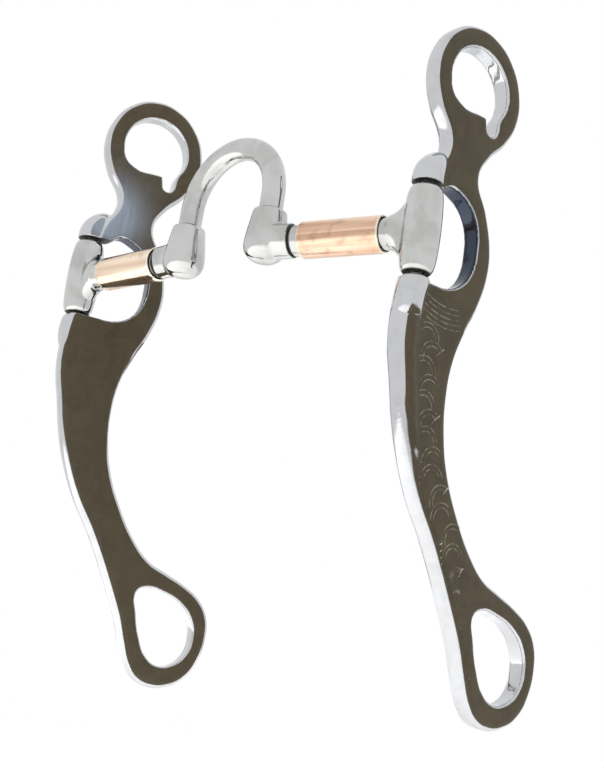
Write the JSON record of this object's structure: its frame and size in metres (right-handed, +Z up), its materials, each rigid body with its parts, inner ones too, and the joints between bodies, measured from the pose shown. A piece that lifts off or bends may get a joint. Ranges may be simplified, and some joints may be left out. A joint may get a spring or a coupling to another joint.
{
  "type": "curb bit",
  "caption": "Loose-cheek western curb bit: two swept shanks with headstall rings and rein loops, hinged to a jointed mouthpiece with copper rollers and a high port.",
  "frame": {"origin": "midway between the axes of the two port legs, at the height of the mouthpiece bars", "axes": "+X to the rider's off-side (right) cheek, +Y to the rear, the way the shanks sweep, +Z up"},
  "size_m": [0.1524, 0.0796, 0.1993],
  "materials": {
    "port": "polished stainless steel rod",
    "right_leg_retainer": "turned steel washer",
    "right_bar": "polished stainless steel casting",
    "right_knuckle": "polished stainless steel casting",
    "right_knuckle_cap": "polished steel plug",
    "right_roller": "copper, worn to a satin",
    "right_cheek": "brown antiqued flat faces with polished edges and engraving",
    "right_hinge_pin": "ground steel pin",
    "left_leg_retainer": "turned steel washer",
    "left_bar": "polished stainless steel casting",
    "left_knuckle": "polished stainless steel casting",
    "left_knuckle_cap": "polished steel plug",
    "left_roller": "copper, worn to a satin",
    "left_cheek": "brown antiqued flat faces with polished edges and engraving",
    "left_hinge_pin": "ground steel pin"
  },
  "bodies": {
    "port": {"port": "port", "right_leg_retainer": "right_leg_retainer", "left_leg_retainer": "left_leg_retainer"},
    "right_bar": {"right_bar": "right_bar", "right_knuckle": "right_knuckle", "right_knuckle_cap": "right_knuckle_cap"},
    "right_roller": {"right_roller": "right_roller"},
    "right_cheek": {"right_cheek": "right_cheek", "right_hinge_pin": "right_hinge_pin"},
    "left_bar": {"left_bar": "left_bar", "left_knuckle": "left_knuckle", "left_knuckle_cap": "left_knuckle_cap"},
    "left_roller": {"left_roller": "left_roller"},
    "left_cheek": {"left_cheek": "left_cheek", "left_hinge_pin": "left_hinge_pin"}
  },
  "joints": [
    {"name": "right_bar_hinge", "type": "hinge", "parent": "port", "child": "right_bar", "pos_m": [0.0177, 0, 0], "axis": [0, 0, 1], "range_deg": [-41.5, 18.5]},
    {"name": "left_bar_hinge", "type": "hinge", "parent": "port", "child": "left_bar", "pos_m": [-0.0177, 0, 0], "axis": [0, 0, 1], "range_deg": [-29.15, 30.85]},
    {"name": "right_roller_spin", "type": "hinge", "parent": "right_bar", "child": "right_roller", "pos_m": [0.0177, 0, -0.0013], "axis": [0.9799, 0.1994, 0], "continuous": true},
    {"name": "left_roller_spin", "type": "hinge", "parent": "left_bar", "child": "left_roller", "pos_m": [-0.0177, 0, -0.0013], "axis": [-0.9999, 0.0148, 0], "continuous": true},
    {"name": "right_cheek_hinge", "type": "hinge", "parent": "right_bar", "child": "right_cheek", "pos_m": [0.06787, 0.01021, 0], "axis": [0, 0, 1], "range_deg": [-59.8, 65.2]},
    {"name": "left_cheek_hinge", "type": "hinge", "parent": "left_bar", "child": "left_cheek", "pos_m": [-0.06889, 0.00076, 0], "axis": [0, 0, 1], "range_deg": [-24.25, 100.75]}
  ]
}
